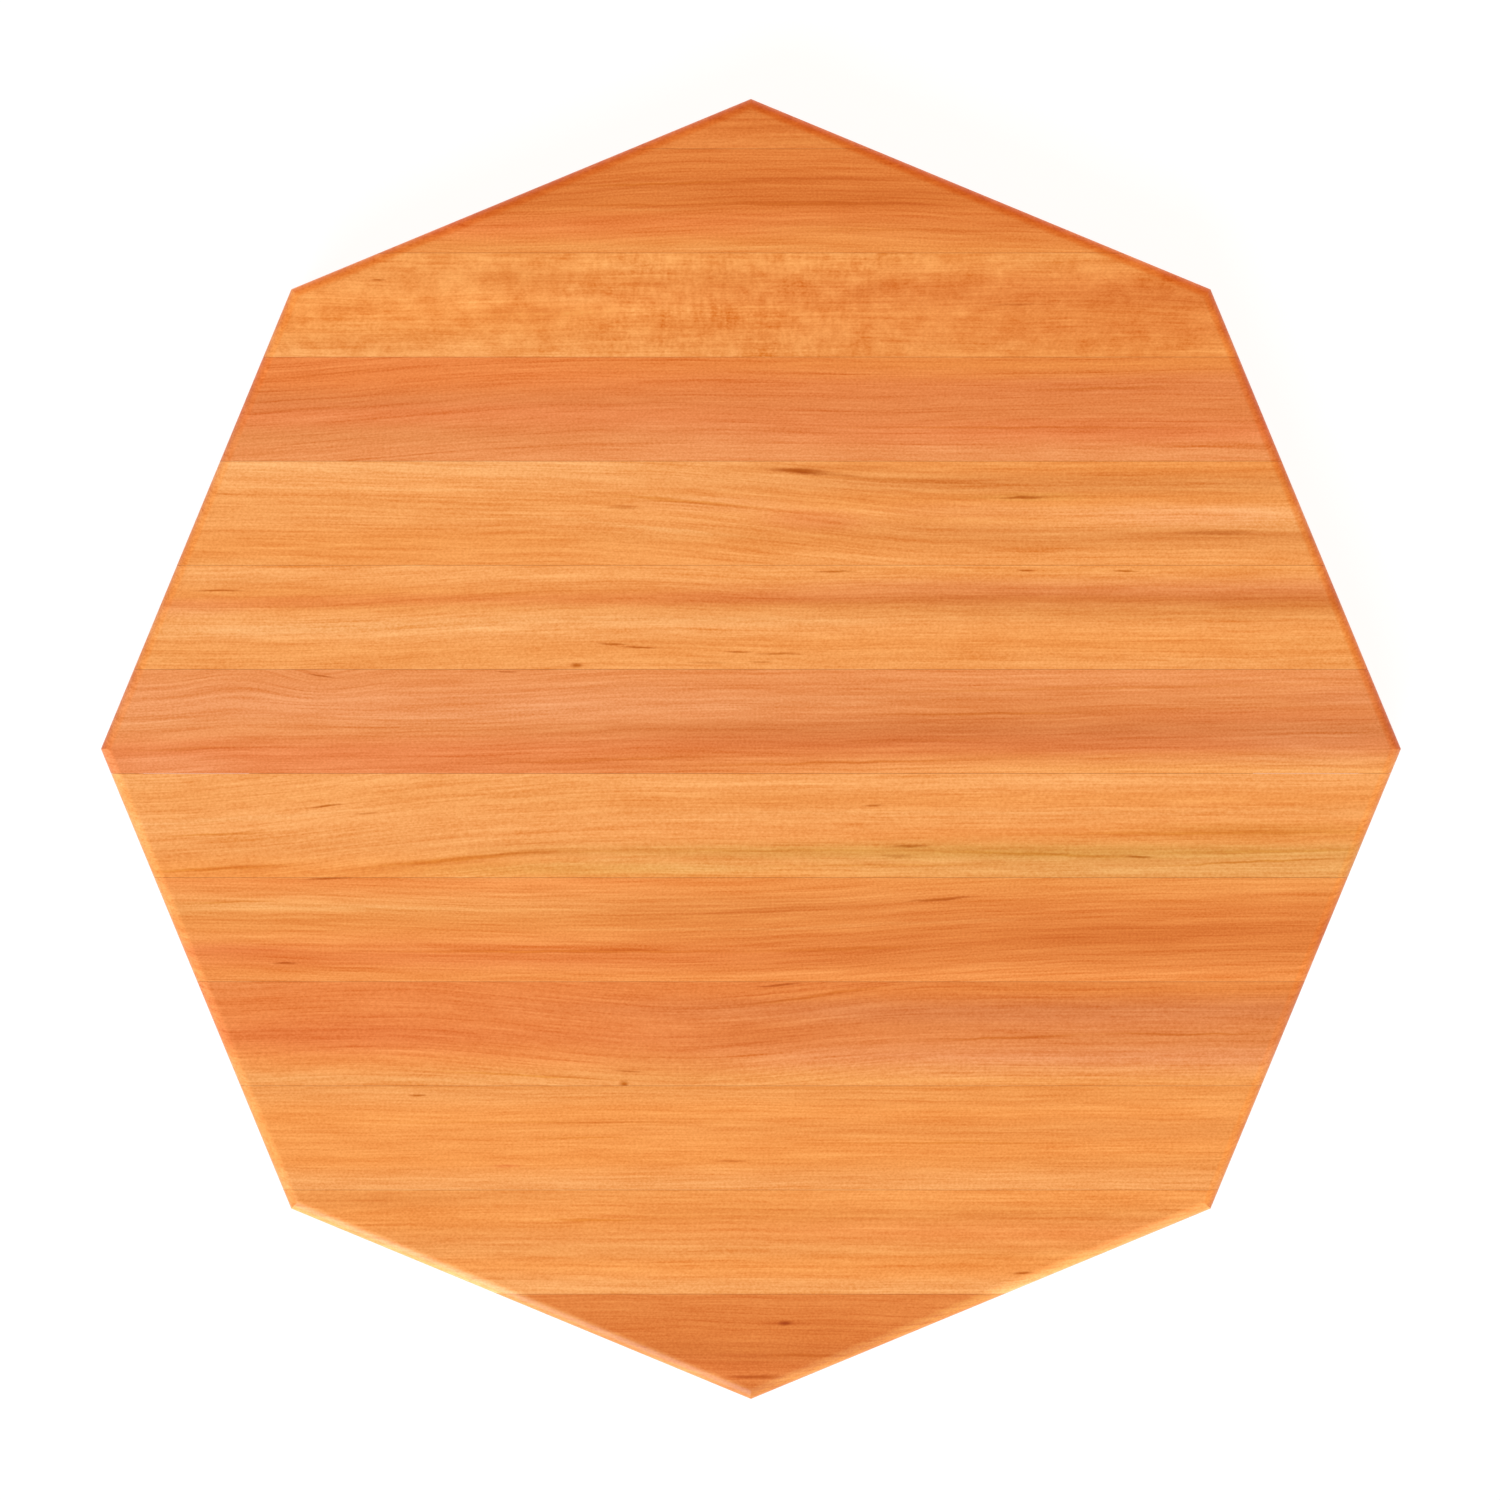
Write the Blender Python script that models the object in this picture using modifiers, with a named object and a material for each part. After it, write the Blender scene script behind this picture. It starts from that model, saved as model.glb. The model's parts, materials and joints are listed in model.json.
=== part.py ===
"""Octagonal crokinole board, lying face down so that its plain staved back is on top.

The back panel is edge-glued from staves. Under it, eight mitred rails stand on loose tongues and are
keyed to each other by mitre splines, and a round playing deck carries the centre hole and eight posts.
Frame: metres, +Z out of the plain back, X along the staves, origin on the table under the centre.
Run with: blender --background --python part.py
"""

import math

import bmesh
import bpy
from mathutils import Matrix, Vector

INCH = 0.0254
GLUE_GAP = 0.0003

# Outline: a regular octagon with a corner on each axis.
SIDES = 8
ACROSS_FLATS = 31 * INCH
SIDE_ANGLE = math.tau / SIDES
HALF_ANGLE = SIDE_ANGLE / 2
APOTHEM = ACROSS_FLATS / 2
CORNER_RADIUS = APOTHEM / math.cos(HALF_ANGLE)
SIDE_LENGTH = 2 * APOTHEM * math.tan(HALF_ANGLE)

# Back panel: staves run along X, and every joint is a whole number of widths from the middle one.
PANEL_THICKNESS = 0.019
PANEL_EDGE_RADIUS = 5 / 16 * INCH
PANEL_EDGE_SEGMENTS = 6
STAVE_COUNT = 13
STAVE_WIDTH = 0.06815
MIDDLE_JOINT_Y = -0.0161
JOINTS_ABOVE_MIDDLE = 6

# Playing deck: a disc with a blind centre hole. Its face is below the rim that the board lies on.
DECK_RADIUS = 26 * INCH / 2
DECK_THICKNESS = 0.019
DECK_EDGE_BEVEL = 0.0008
DECK_SEGMENTS = 160
CENTRE_HOLE_RADIUS = 1.375 * INCH / 2
CENTRE_HOLE_DEPTH = 0.008
CENTRE_HOLE_SEGMENTS = 64
RIM_ABOVE_DECK = 0.022

# Rails: upright boards, flush with the panel's edge, mitred at the corners.
RAIL_THICKNESS = 5 / 8 * INCH
RAIL_HEIGHT = DECK_THICKNESS + RIM_ABOVE_DECK
RIM_EDGE_RADIUS = 0.003
RIM_EDGE_SEGMENTS = 4

# Loose tongue that joins a rail to the panel, half in each.
TONGUE_THICKNESS = 0.006
TONGUE_HEIGHT = 0.012
TONGUE_LENGTH = 0.240

# Spline that keys two rails across their mitre, stopped short of the rim.
SPLINE_THICKNESS = 0.003
SPLINE_WIDTH = 0.014
SPLINE_HEIGHT = 0.026
SPLINE_CENTRE_Z = 0.018

# Posts: a wood screw through a rubber sleeve, the deck and part of the panel.
POST_COUNT = 8
POST_CIRCLE_RADIUS = 8 * INCH / 2
POST_HEIGHT = 0.019
SCREW_SHANK_RADIUS = 0.0021
SCREW_HEAD_RADIUS = 0.0045
SCREW_HEAD_THICKNESS = 0.0028
SCREW_DEPTH_IN_PANEL = 0.011
SCREW_TIP_LENGTH = 0.005
SCREW_STEPS = 24
HEAD_DOME_POINTS = 5
HEAD_RIM_ANGLE = math.radians(15)
HEAD_RIM_SHARE = 0.35
RECESS_WIDTH = 0.0011
RECESS_SPAN = 0.0042
RECESS_DEPTH = 0.0014
SLEEVE_OUTER_RADIUS = 0.0052
SLEEVE_INNER_RADIUS = 0.0026
SLEEVE_EDGE = 0.0004

# Heights in the board's frame, from the rim up.
DECK_FACE_Z = RIM_ABOVE_DECK
DECK_BACK_Z = DECK_FACE_Z + DECK_THICKNESS
PANEL_INNER_Z = RAIL_HEIGHT + GLUE_GAP
PANEL_BACK_Z = PANEL_INNER_Z + PANEL_THICKNESS

MERGE_DISTANCE = 0.00005

# Colours are linear RGB. A stave's tone is the name of the cherry it is cut from.
CHERRY_TONES = {
    "cherry_pale": (0.86, 0.34, 0.10),
    "cherry_mid": (0.78, 0.27, 0.07),
    "cherry_red": (0.72, 0.20, 0.06),
}
STAVE_TONES = (
    "cherry_mid",
    "cherry_mid",
    "cherry_pale",
    "cherry_red",
    "cherry_pale",
    "cherry_pale",
    "cherry_red",
    "cherry_pale",
    "cherry_mid",
    "cherry_red",
    "cherry_pale",
    "cherry_pale",
    "cherry_mid",
)


def clear_scene():
    for obj in list(bpy.data.objects):
        bpy.data.objects.remove(obj)


def make_collection(name):
    collection = bpy.data.collections.new(name)
    bpy.context.scene.collection.children.link(collection)
    return collection


def make_material(name, colour, roughness, metallic=0.0):
    material = bpy.data.materials.new(name)
    material.use_nodes = True
    shader = material.node_tree.nodes["Principled BSDF"]
    shader.inputs["Base Color"].default_value = (*colour, 1.0)
    shader.inputs["Roughness"].default_value = roughness
    shader.inputs["Metallic"].default_value = metallic
    return material


def make_object(name, mesh, collection, parent=None, material=None):
    obj = bpy.data.objects.new(name, mesh)
    collection.objects.link(obj)
    obj.parent = parent
    if material is not None and not mesh.materials:
        mesh.materials.append(material)
    return obj


def mesh_from(name, edit):
    """A mesh datablock from a bmesh, which it frees."""
    mesh = bpy.data.meshes.new(name)
    edit.to_mesh(mesh)
    edit.free()
    return mesh


def box_mesh(name, size, centre=(0, 0, 0)):
    edit = bmesh.new()
    bmesh.ops.create_cube(edit, size=1.0)
    bmesh.ops.scale(edit, vec=size, verts=edit.verts)
    bmesh.ops.translate(edit, vec=centre, verts=edit.verts)
    return mesh_from(name, edit)


def cylinder_mesh(name, radius, depth, segments, base_z=0.0):
    """A closed cylinder on the Z axis that starts at base_z and goes up by depth."""
    edit = bmesh.new()
    bmesh.ops.create_cone(
        edit, cap_ends=True, segments=segments, radius1=radius, radius2=radius, depth=depth
    )
    bmesh.ops.translate(edit, vec=(0, 0, base_z + depth / 2), verts=edit.verts)
    return mesh_from(name, edit)


def make_cutter(name, mesh, collection, matrix=None):
    cutter = make_object(name, mesh, collection)
    cutter.matrix_world = matrix or Matrix.Identity(4)
    cutter.hide_render = True
    cutter.display_type = "WIRE"
    return cutter


def add_boolean(obj, cutter, operation="DIFFERENCE"):
    modifier = obj.modifiers.new(cutter.name, "BOOLEAN")
    modifier.operation = operation
    modifier.object = cutter


def baked(obj):
    """The object's evaluated mesh as a new mesh. The object is removed."""
    graph = bpy.context.evaluated_depsgraph_get()
    mesh = bpy.data.meshes.new_from_object(obj.evaluated_get(graph), depsgraph=graph)
    mesh.name = obj.name
    bpy.data.objects.remove(obj)
    return mesh


def shade_round(mesh, angle=math.radians(35)):
    mesh.shade_smooth()
    mesh.set_sharp_from_angle(angle=angle)


def side_matrix(index):
    """The frame of one side: X along the side, Y out of the board, origin at the middle of its outer face."""
    angle = HALF_ANGLE + index * SIDE_ANGLE
    turn = Matrix.Rotation(angle - math.pi / 2, 4, "Z")
    return turn @ Matrix.Translation((0, APOTHEM, 0))


def corner_matrix(index, radius):
    """The frame of one corner: X outwards through the corner, origin at that radius."""
    return Matrix.Rotation(index * SIDE_ANGLE, 4, "Z") @ Matrix.Translation((radius, 0, 0))


def post_matrix(index):
    turn = Matrix.Rotation(index * math.tau / POST_COUNT, 4, "Z")
    return turn @ Matrix.Translation((POST_CIRCLE_RADIUS, 0, DECK_FACE_Z))


def mitre_middle_radius():
    """How far from the centre the middle of a rail's mitre is."""
    return CORNER_RADIUS - RAIL_THICKNESS / math.cos(HALF_ANGLE) / 2


def slab_mesh():
    """The whole octagonal panel, with its back edge rounded over all the way round."""
    edit = bmesh.new()
    bmesh.ops.create_cone(
        edit,
        cap_ends=True,
        segments=SIDES,
        radius1=CORNER_RADIUS,
        radius2=CORNER_RADIUS,
        depth=PANEL_THICKNESS,
    )
    bmesh.ops.translate(edit, vec=(0, 0, PANEL_INNER_Z + PANEL_THICKNESS / 2), verts=edit.verts)
    back_edges = [
        edge for edge in edit.edges if all(v.co.z > PANEL_BACK_Z - MERGE_DISTANCE for v in edge.verts)
    ]
    bmesh.ops.bevel(
        edit,
        geom=back_edges,
        offset=PANEL_EDGE_RADIUS,
        offset_type="OFFSET",
        segments=PANEL_EDGE_SEGMENTS,
        profile=0.5,
        affect="EDGES",
    )
    return mesh_from("slab", edit)


def tongue_cutter_mesh():
    """The groove for one tongue, cut in a rail and in the panel alike."""
    size = (
        TONGUE_LENGTH + 2 * GLUE_GAP,
        TONGUE_THICKNESS + 2 * GLUE_GAP,
        TONGUE_HEIGHT + 2 * GLUE_GAP,
    )
    return box_mesh("tongue_groove", size, tongue_centre())


def tongue_centre():
    return (0, -RAIL_THICKNESS / 2, RAIL_HEIGHT + GLUE_GAP / 2)


def make_staves(board, cutters, root, materials):
    """Grooves and pilot holes are cut in the whole slab, which is then sawn into staves."""
    slab = make_object("slab", slab_mesh(), cutters)
    groove_mesh = tongue_cutter_mesh()
    pilot_mesh = cylinder_mesh(
        "pilot_hole",
        SCREW_SHANK_RADIUS + GLUE_GAP,
        PANEL_INNER_Z - DECK_BACK_Z + SCREW_DEPTH_IN_PANEL + 3 * GLUE_GAP,
        SCREW_STEPS,
        base_z=DECK_THICKNESS - GLUE_GAP,
    )
    for index in range(SIDES):
        groove = make_cutter(f"panel_groove_{index + 1}", groove_mesh, cutters, side_matrix(index))
        add_boolean(slab, groove)
    for index in range(POST_COUNT):
        pilot = make_cutter(f"pilot_hole_{index + 1}", pilot_mesh, cutters, post_matrix(index))
        add_boolean(slab, pilot)
    drilled = baked(slab)
    for index, tone in enumerate(STAVE_TONES):
        top = MIDDLE_JOINT_Y + (JOINTS_ABOVE_MIDDLE + 1 - index) * STAVE_WIDTH
        bottom = top - STAVE_WIDTH
        if index == STAVE_COUNT - 1:
            bottom = -CORNER_RADIUS - STAVE_WIDTH
        strip_size = (
            3 * CORNER_RADIUS,
            top - bottom - GLUE_GAP,
            4 * PANEL_THICKNESS,
        )
        strip_centre = (0, (top + bottom) / 2, PANEL_BACK_Z)
        strip = make_cutter(
            f"stave_strip_{index + 1:02d}", box_mesh("stave_strip", strip_size, strip_centre), cutters
        )
        stave_mesh = drilled.copy()
        stave_mesh.name = f"stave_{index + 1:02d}"
        stave = make_object(stave_mesh.name, stave_mesh, board, root, materials[tone])
        add_boolean(stave, strip, "INTERSECT")
    bpy.data.meshes.remove(drilled)


def rail_blank_mesh():
    """One rail in its side's frame: rim edges rounded, ends cut to the mitre, no grooves yet."""
    edit = bmesh.new()
    bmesh.ops.create_cube(edit, size=1.0)
    bmesh.ops.scale(edit, vec=(1.2 * SIDE_LENGTH, RAIL_THICKNESS, RAIL_HEIGHT), verts=edit.verts)
    bmesh.ops.translate(edit, vec=(0, -RAIL_THICKNESS / 2, RAIL_HEIGHT / 2), verts=edit.verts)
    rim_edges = [
        edge
        for edge in edit.edges
        if all(v.co.z < MERGE_DISTANCE for v in edge.verts)
        and abs(edge.verts[0].co.x - edge.verts[1].co.x) > SIDE_LENGTH
    ]
    bmesh.ops.bevel(
        edit,
        geom=rim_edges,
        offset=RIM_EDGE_RADIUS,
        offset_type="OFFSET",
        segments=RIM_EDGE_SEGMENTS,
        profile=0.5,
        affect="EDGES",
    )
    for end in (-1, 1):
        normal = Vector((end * math.cos(HALF_ANGLE), -math.sin(HALF_ANGLE), 0))
        corner = Vector((end * SIDE_LENGTH / 2, 0, 0))
        cut = bmesh.ops.bisect_plane(
            edit,
            geom=[*edit.verts, *edit.edges, *edit.faces],
            plane_co=corner - normal * GLUE_GAP / 2,
            plane_no=normal,
            clear_outer=True,
        )
        rim = [item for item in cut["geom_cut"] if isinstance(item, bmesh.types.BMEdge)]
        bmesh.ops.contextual_create(edit, geom=rim)
    bmesh.ops.recalc_face_normals(edit, faces=edit.faces)
    return mesh_from("rail", edit)


def make_rails(board, cutters, root, material):
    """All rails share one mesh, made in the first side's frame."""
    blank = make_object("rail", rail_blank_mesh(), cutters)
    add_boolean(blank, make_cutter("rail_groove", tongue_cutter_mesh(), cutters))
    slot_size = (
        SPLINE_THICKNESS + 2 * GLUE_GAP,
        SPLINE_WIDTH + 2 * GLUE_GAP,
        SPLINE_HEIGHT + 2 * GLUE_GAP,
    )
    for corner in (0, 1):
        place = side_matrix(0).inverted() @ corner_matrix(corner, mitre_middle_radius())
        place = place @ Matrix.Translation((0, 0, SPLINE_CENTRE_Z))
        slot_mesh = box_mesh("spline_slot", slot_size)
        add_boolean(blank, make_cutter(f"spline_slot_{corner + 1}", slot_mesh, cutters, place))
    rail_mesh = baked(blank)
    shade_round(rail_mesh)
    for index in range(SIDES):
        rail = make_object(f"rail_{index + 1}", rail_mesh, board, root, material)
        rail.matrix_world = side_matrix(index)


def make_tongues(board, root, material):
    size = (TONGUE_LENGTH, TONGUE_THICKNESS, TONGUE_HEIGHT)
    mesh = box_mesh("rail_tongue", size, tongue_centre())
    for index in range(SIDES):
        tongue = make_object(f"rail_tongue_{index + 1}", mesh, board, root, material)
        tongue.matrix_world = side_matrix(index)


def make_splines(board, root, material):
    size = (SPLINE_THICKNESS, SPLINE_WIDTH, SPLINE_HEIGHT)
    mesh = box_mesh("mitre_spline", size, (0, 0, SPLINE_CENTRE_Z))
    for index in range(SIDES):
        spline = make_object(f"mitre_spline_{index + 1}", mesh, board, root, material)
        spline.matrix_world = corner_matrix(index, mitre_middle_radius())


def make_deck(board, cutters, root, material):
    """The disc's face looks down, and so does the mouth of the centre hole."""
    edit = bmesh.new()
    bmesh.ops.create_cone(
        edit,
        cap_ends=True,
        segments=DECK_SEGMENTS,
        radius1=DECK_RADIUS,
        radius2=DECK_RADIUS,
        depth=DECK_THICKNESS,
    )
    bmesh.ops.translate(edit, vec=(0, 0, DECK_FACE_Z + DECK_THICKNESS / 2), verts=edit.verts)
    face_edges = [
        edge for edge in edit.edges if all(v.co.z < DECK_FACE_Z + MERGE_DISTANCE for v in edge.verts)
    ]
    bmesh.ops.bevel(
        edit, geom=face_edges, offset=DECK_EDGE_BEVEL, segments=1, profile=0.5, affect="EDGES"
    )
    disc = make_object("deck_disc", mesh_from("deck", edit), cutters)
    hole_mesh = cylinder_mesh(
        "centre_hole",
        CENTRE_HOLE_RADIUS,
        RIM_ABOVE_DECK + CENTRE_HOLE_DEPTH,
        CENTRE_HOLE_SEGMENTS,
    )
    add_boolean(disc, make_cutter("centre_hole", hole_mesh, cutters))
    clearance_mesh = cylinder_mesh(
        "screw_clearance",
        SCREW_SHANK_RADIUS + GLUE_GAP,
        3 * DECK_THICKNESS,
        SCREW_STEPS,
        base_z=-DECK_THICKNESS,
    )
    for index in range(POST_COUNT):
        cutter = make_cutter(f"screw_clearance_{index + 1}", clearance_mesh, cutters, post_matrix(index))
        add_boolean(disc, cutter)
    deck_mesh = baked(disc)
    shade_round(deck_mesh)
    make_object("deck", deck_mesh, board, root, material)


def turned_mesh(name, profile, collection, closed=False):
    """A solid turned about Z from (radius, height) points that run down its outer side."""
    edit = bmesh.new()
    points = [edit.verts.new((radius, 0, height)) for radius, height in profile]
    for first, second in zip(points, points[1:]):
        edit.edges.new((first, second))
    if closed:
        edit.edges.new((points[-1], points[0]))
    obj = make_object(name, mesh_from(name, edit), collection)
    screw = obj.modifiers.new("turn", "SCREW")
    screw.steps = SCREW_STEPS
    screw.render_steps = SCREW_STEPS
    screw.use_merge_vertices = True
    screw.merge_threshold = MERGE_DISTANCE
    mesh = baked(obj)
    shade_round(mesh)
    return mesh


def screw_profile():
    """A pan-head wood screw, point up, with the deck's face at height 0.

    Each dome point is at an angle from the head's rim, up to a right angle on the axis.
    """
    point_z = PANEL_INNER_Z - DECK_FACE_Z + SCREW_DEPTH_IN_PANEL
    head_top_z = -(POST_HEIGHT - SCREW_HEAD_THICKNESS)
    profile = [
        (0, point_z),
        (SCREW_SHANK_RADIUS, point_z - SCREW_TIP_LENGTH),
        (SCREW_SHANK_RADIUS, head_top_z),
        (SCREW_HEAD_RADIUS, head_top_z),
    ]
    for step in range(HEAD_DOME_POINTS + 1):
        angle = HEAD_RIM_ANGLE + (math.pi / 2 - HEAD_RIM_ANGLE) * step / HEAD_DOME_POINTS
        radius = SCREW_HEAD_RADIUS * math.cos(angle) / math.cos(HEAD_RIM_ANGLE)
        rise = HEAD_RIM_SHARE + (1 - HEAD_RIM_SHARE) * math.sin(angle) ** 2
        height = head_top_z - SCREW_HEAD_THICKNESS * rise
        profile.append((0 if step == HEAD_DOME_POINTS else radius, height))
    return profile


def sleeve_profile():
    """A short rubber tube, its four rims eased, with the deck's face at height 0."""
    top = -GLUE_GAP
    bottom = -(POST_HEIGHT - SCREW_HEAD_THICKNESS) + GLUE_GAP
    return [
        (SLEEVE_INNER_RADIUS, top - SLEEVE_EDGE),
        (SLEEVE_INNER_RADIUS + SLEEVE_EDGE, top),
        (SLEEVE_OUTER_RADIUS - SLEEVE_EDGE, top),
        (SLEEVE_OUTER_RADIUS, top - SLEEVE_EDGE),
        (SLEEVE_OUTER_RADIUS, bottom + SLEEVE_EDGE),
        (SLEEVE_OUTER_RADIUS - SLEEVE_EDGE, bottom),
        (SLEEVE_INNER_RADIUS + SLEEVE_EDGE, bottom),
        (SLEEVE_INNER_RADIUS, bottom + SLEEVE_EDGE),
    ]


def recessed_screw_mesh(cutters):
    """The turned screw with a cross recess in its head."""
    plain = make_object("post_screw", turned_mesh("post_screw", screw_profile(), cutters), cutters)
    for turn, arm in enumerate(("recess_arm_x", "recess_arm_y")):
        mesh = box_mesh(
            arm,
            (RECESS_SPAN, RECESS_WIDTH, 2 * RECESS_DEPTH),
            (0, 0, -POST_HEIGHT),
        )
        matrix = Matrix.Rotation(turn * math.pi / 2, 4, "Z")
        add_boolean(plain, make_cutter(arm, mesh, cutters, matrix))
    return baked(plain)


def make_posts(board, cutters, root, steel, rubber):
    screw_mesh = recessed_screw_mesh(cutters)
    shade_round(screw_mesh)
    sleeve_mesh = turned_mesh("post_sleeve", sleeve_profile(), cutters, closed=True)
    for index in range(POST_COUNT):
        for name, mesh, material in (
            ("post_screw", screw_mesh, steel),
            ("post_sleeve", sleeve_mesh, rubber),
        ):
            piece = make_object(f"{name}_{index + 1}", mesh, board, root, material)
            piece.matrix_world = post_matrix(index)


def main():
    clear_scene()
    board = make_collection("crokinole_board")
    cutters = make_collection("cutters")
    cutters.hide_render = True
    root = bpy.data.objects.new("board_origin", None)
    board.objects.link(root)
    cherry = {
        name: make_material(name, colour, roughness=0.42) for name, colour in CHERRY_TONES.items()
    }
    maple = make_material("maple_ply", (0.72, 0.50, 0.28), roughness=0.35)
    beech = make_material("beech", (0.62, 0.40, 0.22), roughness=0.6)
    steel = make_material("steel", (0.62, 0.62, 0.60), roughness=0.3, metallic=1.0)
    rubber = make_material("rubber", (0.035, 0.03, 0.028), roughness=0.75)
    make_staves(board, cutters, root, cherry)
    make_rails(board, cutters, root, cherry["cherry_mid"])
    make_tongues(board, root, beech)
    make_splines(board, root, beech)
    make_deck(board, cutters, root, maple)
    make_posts(board, cutters, root, steel, rubber)


main()
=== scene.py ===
"""Looks for the octagonal crokinole board, which lies face down with its plain cherry back on top.

The staves and rails are rebuilt with a fine round-over and tight glue lines, and every board gets its own
procedural cherry: bands of colour across it, growth lines, fibre, curl and gum flecks. Metres, +Z up.
"""

import json
import math
from dataclasses import dataclass

import bmesh
import bpy
from mathutils import Matrix, Vector


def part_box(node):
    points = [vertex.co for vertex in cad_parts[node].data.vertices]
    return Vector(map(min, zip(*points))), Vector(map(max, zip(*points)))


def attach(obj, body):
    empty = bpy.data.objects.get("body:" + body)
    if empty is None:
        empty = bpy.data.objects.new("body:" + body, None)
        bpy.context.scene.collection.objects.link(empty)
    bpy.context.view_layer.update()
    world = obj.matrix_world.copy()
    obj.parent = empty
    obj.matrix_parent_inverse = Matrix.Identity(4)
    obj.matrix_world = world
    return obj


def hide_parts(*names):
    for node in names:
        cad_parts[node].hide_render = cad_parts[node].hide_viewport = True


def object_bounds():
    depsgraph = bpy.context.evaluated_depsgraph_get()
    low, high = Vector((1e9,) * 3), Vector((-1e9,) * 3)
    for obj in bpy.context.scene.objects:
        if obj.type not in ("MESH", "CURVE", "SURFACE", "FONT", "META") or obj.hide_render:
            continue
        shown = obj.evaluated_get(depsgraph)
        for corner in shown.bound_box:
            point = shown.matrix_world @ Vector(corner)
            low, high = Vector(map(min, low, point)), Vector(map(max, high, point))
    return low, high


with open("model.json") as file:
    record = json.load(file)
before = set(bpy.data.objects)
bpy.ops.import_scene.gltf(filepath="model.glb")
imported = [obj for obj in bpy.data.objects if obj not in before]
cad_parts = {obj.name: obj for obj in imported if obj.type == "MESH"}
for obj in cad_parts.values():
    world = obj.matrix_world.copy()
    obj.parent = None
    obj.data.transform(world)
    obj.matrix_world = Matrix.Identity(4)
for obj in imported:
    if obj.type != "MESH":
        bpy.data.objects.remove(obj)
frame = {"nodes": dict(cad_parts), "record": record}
CAD_LOW, CAD_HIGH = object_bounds()

SIDES = 8
SIDE_ANGLE = math.tau / SIDES
HALF_ANGLE = SIDE_ANGLE / 2
CORNER_RADIUS = CAD_HIGH.x
APOTHEM = CORNER_RADIUS * math.cos(HALF_ANGLE)
SIDE_LENGTH = 2 * APOTHEM * math.tan(HALF_ANGLE)

MIDDLE_STAVE_LOW, MIDDLE_STAVE_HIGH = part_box("stave_07")
PANEL_INNER_Z = MIDDLE_STAVE_LOW.z
PANEL_BACK_Z = MIDDLE_STAVE_HIGH.z
CAD_GLUE_GAP = 0.0003
STAVE_WIDTH = MIDDLE_STAVE_HIGH.y - MIDDLE_STAVE_LOW.y + CAD_GLUE_GAP
MIDDLE_STAVE_TOP = MIDDLE_STAVE_HIGH.y + CAD_GLUE_GAP / 2
MIDDLE_STAVE = 7

POST_SCREWS = [name for name in frame["nodes"] if name.startswith("post_screw")]
DECK_LOW, DECK_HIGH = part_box("deck")
GLUE_LINE = 0.00014
ROUND_OVER = 0.00794
ROUND_OVER_SEGMENTS = 14
PILOT_SEGMENTS = 32
RIM_ROUND = 0.003
RIM_SEGMENTS = 8
# A rail's blank is this much longer than its side, and its mitres are cut from it.
RAIL_BLANK = 1.2
SHARP_ANGLE = math.radians(12)
EDGE_EPSILON = 0.00005
# How much of the picture's width the board fills, corner to corner.
BOARD_SHARE = 13 / 15

# Display colours of oiled cherry, from pale sapwood to dark heartwood, then its pink, red and green casts.
TONES = {
    "cream": (249, 172, 103),
    "butter": (247, 165, 94),
    "gold": (244, 160, 88),
    "straw": (242, 154, 80),
    "honey": (239, 150, 77),
    "apricot": (236, 145, 73),
    "orange": (233, 139, 69),
    "amber": (229, 133, 65),
    "russet": (225, 127, 60),
    "chestnut": (220, 122, 57),
    "marigold": (247, 157, 81),
    "tangerine": (243, 149, 78),
    "copper": (237, 136, 71),
    "coral": (236, 138, 80),
    "peach": (240, 154, 96),
    "salmon": (237, 148, 87),
    "rose": (231, 141, 80),
    "brick": (229, 134, 74),
    "clay": (222, 131, 74),
    "wheat": (231, 146, 77),
    "reed": (235, 161, 88),
}
# Linear RGB that the finish reflects of the studio, taken off each tone so that it looks right under it.
SHEEN = (0.0135, 0.0125, 0.0085)
# How much each channel darkens in a dark streak.
SHADE = (0.08, 0.20, 0.37)
# What each kind of mark multiplies the wood's colour by.
MARK_TINTS = {
    "gum": (0.64, 0.39, 0.05),
    "vein": (0.84, 0.66, 0.28),
    "dark": (0.86, 0.70, 0.48),
    "red": (0.93, 0.76, 0.74),
    "olive": (0.87, 0.93, 0.74),
    "pale": (1.04, 1.18, 1.38),
    "blush": (0.99, 1.01, 1.30),
}
# The same for the round-over edge, where the tint is painted shade that deepens and reddens the edge band,
# and for end grain.
EDGE_SHADE_TINT = (1.04, 0.95, 0.81)
END_GRAIN_TINT = (0.88, 0.80, 0.76)
MM = 0.001
# Size in metres of each kind of figure: along the grain, across it and in depth.
FIGURE = {
    "wander": (0.26, 0.07, 0.05),
    "ripple": (0.06, 0.025, 0.03),
    "streak": (0.15, 0.0034, 0.006),
    "band": (0.28, 0.0085, 0.012),
    "drift": (0.3, 0.03, 0.03),
    "fibre": (0.045, 0.0011, 0.0014),
    "speckle": (0.0016, 0.0012, 0.0012),
    "cloud": (0.07, 0.018, 0.02),
    "ragged": (0.020, 0.006, 0.006),
    "line jitter": (0.9, 0.013, 0.02),
    "line presence": (0.12, 0.006, 0.01),
    "curl patch": (0.045, 0.014, 0.02),
    "curl blotch": (0.012, 0.009, 0.01),
    "curl ripple": (0.0030, 0.010, 0.010),
    "curl hatch": (0.0022, 0.0016, 0.002),
    "maple figure": (0.18, 0.014, 0.02),
    "maple fibre": (0.03, 0.0009, 0.0012),
    "plain": (0.004, 0.004, 0.004),
}
# How far each kind of figure shades the wood, from its darkest to its palest.
FIBRE_CONTRAST = 3.0
SPECKLE_CONTRAST = 3.2
CLOUD_CONTRAST = 1.5
STREAK_CONTRAST = 6.5
BAND_CONTRAST = 0.5
CURL_CONTRAST = {"curl patch": 4.5, "curl blotch": 4.5, "curl ripple": 4, "curl hatch": 5}
# How far down a board its growth rings slope, for each metre below the face.
RING_SLANT = 0.7
# How far the colour bands waver across a board, as a share of its width.
BAND_WAVER = 0.10
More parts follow.
